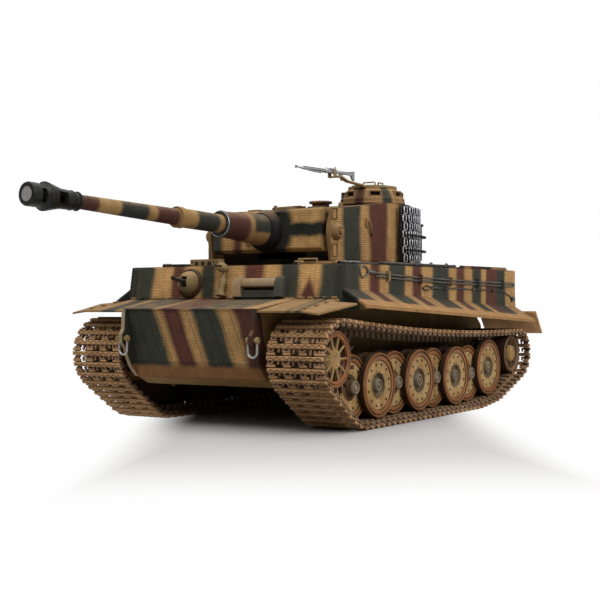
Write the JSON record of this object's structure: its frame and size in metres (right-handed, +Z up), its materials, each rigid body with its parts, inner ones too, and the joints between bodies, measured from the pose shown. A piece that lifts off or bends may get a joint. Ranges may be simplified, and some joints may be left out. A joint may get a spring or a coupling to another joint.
{
  "type": "radio-controlled model tank",
  "caption": "Scale radio-controlled heavy tank with turning turret, elevating recoiling gun, spinning road wheels, link tracks, opening hatches and a swivelling roof machine gun.",
  "frame": {"origin": "on the ground under the middle of the whole length and width, gun included, with the turret as stored", "axes": "+Z up, the front faces -Y, +X is the tank's own left side"},
  "size_m": [0.2312, 0.5069, 0.1955],
  "materials": {
    "sand_paint_chassis": "dusty tan satin paint",
    "camouflage_paint": "three-colour matt camouflage",
    "gun_paint": "camouflage paint, blackened muzzle brake",
    "wheel_paint": "tan paint with rusty rims",
    "track_metal": "rust-brown, dusty",
    "gunmetal": "dry-brushed gunmetal",
    "bright_steel": "bright metal",
    "dark_steel": "matt black",
    "black_plastic": "moulded",
    "battery_wrap": "shrink wrap",
    "circuit_board": "solder mask"
  },
  "bodies": {
    "hull": {"lower_hull": "sand_paint_chassis", "nose_armour": "sand_paint_chassis", "upper_hull": "camouflage_paint", "engine_deck": "camouflage_paint", "mudguards": "camouflage_paint", "side_skirts": "camouflage_paint", "exhausts": "camouflage_paint", "driver_visor": "camouflage_paint", "headlight": "camouflage_paint", "bow_gun_collar": "camouflage_paint", "roof_brackets": "camouflage_paint", "tow_cables": "bright_steel", "cable_clips": "bright_steel", "deck_tools": "dark_steel", "drive_gearboxes": "black_plastic", "battery_pack": "battery_wrap", "battery_door": "black_plastic", "control_board": "circuit_board", "speaker": "black_plastic", "turret_motor": "black_plastic", "swing_arms": "sand_paint_chassis", "track_left": "track_metal", "track_right": "track_metal"},
    "sprocket_left": {"sprocket_left": "wheel_paint"},
    "idler_left": {"idler_left": "wheel_paint"},
    "wheel_left_1": {"wheel_left_1": "wheel_paint"},
    "wheel_left_2": {"wheel_left_2": "wheel_paint"},
    "wheel_left_3": {"wheel_left_3": "wheel_paint"},
    "wheel_left_4": {"wheel_left_4": "wheel_paint"},
    "wheel_left_5": {"wheel_left_5": "wheel_paint"},
    "wheel_left_6": {"wheel_left_6": "wheel_paint"},
    "wheel_left_7": {"wheel_left_7": "wheel_paint"},
    "wheel_left_8": {"wheel_left_8": "wheel_paint"},
    "sprocket_right": {"sprocket_right": "wheel_paint"},
    "idler_right": {"idler_right": "wheel_paint"},
    "wheel_right_1": {"wheel_right_1": "wheel_paint"},
    "wheel_right_2": {"wheel_right_2": "wheel_paint"},
    "wheel_right_3": {"wheel_right_3": "wheel_paint"},
    "wheel_right_4": {"wheel_right_4": "wheel_paint"},
    "wheel_right_5": {"wheel_right_5": "wheel_paint"},
    "wheel_right_6": {"wheel_right_6": "wheel_paint"},
    "wheel_right_7": {"wheel_right_7": "wheel_paint"},
    "wheel_right_8": {"wheel_right_8": "wheel_paint"},
    "turret": {"turret_shell": "camouflage_paint", "cupola": "camouflage_paint", "spare_links": "gunmetal", "turret_bin": "camouflage_paint"},
    "mantlet": {"mantlet": "camouflage_paint"},
    "gun_barrel": {"gun_barrel": "gun_paint"},
    "commander_hatch": {"commander_hatch": "camouflage_paint"},
    "loader_hatch": {"loader_hatch": "camouflage_paint"},
    "aa_bracket": {"aa_bracket": "camouflage_paint"},
    "aa_machine_gun": {"aa_machine_gun": "bright_steel"},
    "driver_hatch": {"driver_hatch": "camouflage_paint"},
    "radio_hatch": {"radio_hatch": "camouflage_paint"},
    "bow_ball": {"bow_ball": "camouflage_paint"},
    "bow_gun": {"bow_gun": "dark_steel"},
    "shackle_left": {"shackle_left": "bright_steel"},
    "shackle_right": {"shackle_right": "bright_steel"},
    "power_switch": {"power_switch": "dark_steel"}
  },
  "joints": [
    {"name": "sprocket_left_spin", "type": "hinge", "parent": "hull", "child": "sprocket_left", "pos_m": [0.08815, -0.092, 0.0512], "axis": [1, 0, 0], "continuous": true, "deforming": ["track_left"]},
    {"name": "idler_left_spin", "type": "hinge", "parent": "hull", "child": "idler_left", "pos_m": [0.08815, 0.217, 0.043], "axis": [1, 0, 0], "continuous": true},
    {"name": "wheel_left_1_spin", "type": "hinge", "parent": "hull", "child": "wheel_left_1", "pos_m": [0.08925, -0.0587, 0.02951], "axis": [1, 0, 0], "continuous": true},
    {"name": "wheel_left_2_spin", "type": "hinge", "parent": "hull", "child": "wheel_left_2", "pos_m": [0.09545, -0.0265, 0.02951], "axis": [1, 0, 0], "continuous": true},
    {"name": "wheel_left_3_spin", "type": "hinge", "parent": "hull", "child": "wheel_left_3", "pos_m": [0.08925, 0.0057, 0.02951], "axis": [1, 0, 0], "continuous": true},
    {"name": "wheel_left_4_spin", "type": "hinge", "parent": "hull", "child": "wheel_left_4", "pos_m": [0.09545, 0.0379, 0.02951], "axis": [1, 0, 0], "continuous": true},
    {"name": "wheel_left_5_spin", "type": "hinge", "parent": "hull", "child": "wheel_left_5", "pos_m": [0.08925, 0.0701, 0.02951], "axis": [1, 0, 0], "continuous": true},
    {"name": "wheel_left_6_spin", "type": "hinge", "parent": "hull", "child": "wheel_left_6", "pos_m": [0.09545, 0.1023, 0.02951], "axis": [1, 0, 0], "continuous": true},
    {"name": "wheel_left_7_spin", "type": "hinge", "parent": "hull", "child": "wheel_left_7", "pos_m": [0.08925, 0.1345, 0.02951], "axis": [1, 0, 0], "continuous": true},
    {"name": "wheel_left_8_spin", "type": "hinge", "parent": "hull", "child": "wheel_left_8", "pos_m": [0.09545, 0.1667, 0.0332], "axis": [1, 0, 0], "continuous": true},
    {"name": "sprocket_right_spin", "type": "hinge", "parent": "hull", "child": "sprocket_right", "pos_m": [-0.08815, -0.092, 0.0512], "axis": [1, 0, 0], "continuous": true, "deforming": ["track_right"]},
    {"name": "idler_right_spin", "type": "hinge", "parent": "hull", "child": "idler_right", "pos_m": [-0.08815, 0.217, 0.043], "axis": [1, 0, 0], "continuous": true},
    {"name": "wheel_right_1_spin", "type": "hinge", "parent": "hull", "child": "wheel_right_1", "pos_m": [-0.08925, -0.0587, 0.02951], "axis": [1, 0, 0], "continuous": true},
    {"name": "wheel_right_2_spin", "type": "hinge", "parent": "hull", "child": "wheel_right_2", "pos_m": [-0.09545, -0.0265, 0.02951], "axis": [1, 0, 0], "continuous": true},
    {"name": "wheel_right_3_spin", "type": "hinge", "parent": "hull", "child": "wheel_right_3", "pos_m": [-0.08925, 0.0057, 0.02951], "axis": [1, 0, 0], "continuous": true},
    {"name": "wheel_right_4_spin", "type": "hinge", "parent": "hull", "child": "wheel_right_4", "pos_m": [-0.09545, 0.0379, 0.02951], "axis": [1, 0, 0], "continuous": true},
    {"name": "wheel_right_5_spin", "type": "hinge", "parent": "hull", "child": "wheel_right_5", "pos_m": [-0.08925, 0.0701, 0.02951], "axis": [1, 0, 0], "continuous": true},
    {"name": "wheel_right_6_spin", "type": "hinge", "parent": "hull", "child": "wheel_right_6", "pos_m": [-0.09545, 0.1023, 0.02951], "axis": [1, 0, 0], "continuous": true},
    {"name": "wheel_right_7_spin", "type": "hinge", "parent": "hull", "child": "wheel_right_7", "pos_m": [-0.08925, 0.1345, 0.02951], "axis": [1, 0, 0], "continuous": true},
    {"name": "wheel_right_8_spin", "type": "hinge", "parent": "hull", "child": "wheel_right_8", "pos_m": [-0.09545, 0.1667, 0.0332], "axis": [1, 0, 0], "continuous": true},
    {"name": "turret_yaw", "type": "hinge", "parent": "hull", "child": "turret", "pos_m": [0, 0.0655, 0.1195], "axis": [0, 0, 1], "continuous": true},
    {"name": "gun_elevation", "type": "hinge", "parent": "turret", "child": "mantlet", "pos_m": [-0.0046, -0.00034, 0.1444], "axis": [-0.9976, 0.0698, 0], "range_deg": [-8, 9]},
    {"name": "gun_recoil", "type": "slide", "parent": "mantlet", "child": "gun_barrel", "axis": [0.0697, 0.9961, -0.0541], "range_m": [0, 0.009], "stiffness_N_per_m": 400, "springref_m": -0.004},
    {"name": "commander_hatch_hinge", "type": "hinge", "parent": "turret", "child": "commander_hatch", "pos_m": [0.03549, 0.10001, 0.1856], "axis": [-0.9976, 0.0698, 0], "range_deg": [0, 100]},
    {"name": "loader_hatch_hinge", "type": "hinge", "parent": "turret", "child": "loader_hatch", "pos_m": [-0.04043, 0.05214, 0.16826], "axis": [-0.0693, -0.9913, -0.1123], "range_deg": [0, 100]},
    {"name": "aa_bracket_slew", "type": "hinge", "parent": "turret", "child": "aa_bracket", "pos_m": [0.03431, 0.08315, 0.1826], "axis": [0, 0, 1], "continuous": true},
    {"name": "aa_gun_tilt", "type": "hinge", "parent": "aa_bracket", "child": "aa_machine_gun", "pos_m": [0.03031, 0.02589, 0.1921], "axis": [-0.9976, 0.0698, 0], "range_deg": [-12, 35]},
    {"name": "driver_hatch_hinge", "type": "hinge", "parent": "hull", "child": "driver_hatch", "pos_m": [0.0778, -0.044, 0.1185], "axis": [0, 1, 0], "range_deg": [0, 105]},
    {"name": "radio_hatch_hinge", "type": "hinge", "parent": "hull", "child": "radio_hatch", "pos_m": [-0.0778, -0.044, 0.1185], "axis": [0, -1, 0], "range_deg": [0, 105]},
    {"name": "bow_gun_yaw", "type": "hinge", "parent": "hull", "child": "bow_ball", "pos_m": [-0.0375, -0.06975, 0.10439], "axis": [0, 0.1792, 0.9838], "range_deg": [-15, 15]},
    {"name": "bow_gun_pitch", "type": "hinge", "parent": "bow_ball", "child": "bow_gun", "pos_m": [-0.0375, -0.06975, 0.10439], "axis": [-1, 0, 0], "range_deg": [-10, 15]},
    {"name": "shackle_left_swing", "type": "hinge", "parent": "hull", "child": "shackle_left", "pos_m": [0.05735, -0.1232, 0.0642], "axis": [-1, 0, 0], "range_deg": [0, 110]},
    {"name": "shackle_right_swing", "type": "hinge", "parent": "hull", "child": "shackle_right", "pos_m": [-0.05735, -0.1232, 0.0642], "axis": [-1, 0, 0], "range_deg": [0, 110]},
    {"name": "power_switch_slide", "type": "slide", "parent": "hull", "child": "power_switch", "axis": [0, 1, 0], "range_m": [0, 0.002]}
  ],
  "couplings": [
    {"joint": "idler_left_spin", "follows": "sprocket_left_spin", "ratio": 1.3255},
    {"joint": "wheel_left_1_spin", "follows": "sprocket_left_spin", "ratio": 1.086},
    {"joint": "wheel_left_2_spin", "follows": "sprocket_left_spin", "ratio": 1.086},
    {"joint": "wheel_left_3_spin", "follows": "sprocket_left_spin", "ratio": 1.086},
    {"joint": "wheel_left_4_spin", "follows": "sprocket_left_spin", "ratio": 1.086},
    {"joint": "wheel_left_5_spin", "follows": "sprocket_left_spin", "ratio": 1.086},
    {"joint": "wheel_left_6_spin", "follows": "sprocket_left_spin", "ratio": 1.086},
    {"joint": "wheel_left_7_spin", "follows": "sprocket_left_spin", "ratio": 1.086},
    {"joint": "wheel_left_8_spin", "follows": "sprocket_left_spin", "ratio": 1.086},
    {"joint": "idler_right_spin", "follows": "sprocket_right_spin", "ratio": 1.3255},
    {"joint": "wheel_right_1_spin", "follows": "sprocket_right_spin", "ratio": 1.086},
    {"joint": "wheel_right_2_spin", "follows": "sprocket_right_spin", "ratio": 1.086},
    {"joint": "wheel_right_3_spin", "follows": "sprocket_right_spin", "ratio": 1.086},
    {"joint": "wheel_right_4_spin", "follows": "sprocket_right_spin", "ratio": 1.086},
    {"joint": "wheel_right_5_spin", "follows": "sprocket_right_spin", "ratio": 1.086},
    {"joint": "wheel_right_6_spin", "follows": "sprocket_right_spin", "ratio": 1.086},
    {"joint": "wheel_right_7_spin", "follows": "sprocket_right_spin", "ratio": 1.086},
    {"joint": "wheel_right_8_spin", "follows": "sprocket_right_spin", "ratio": 1.086}
  ]
}
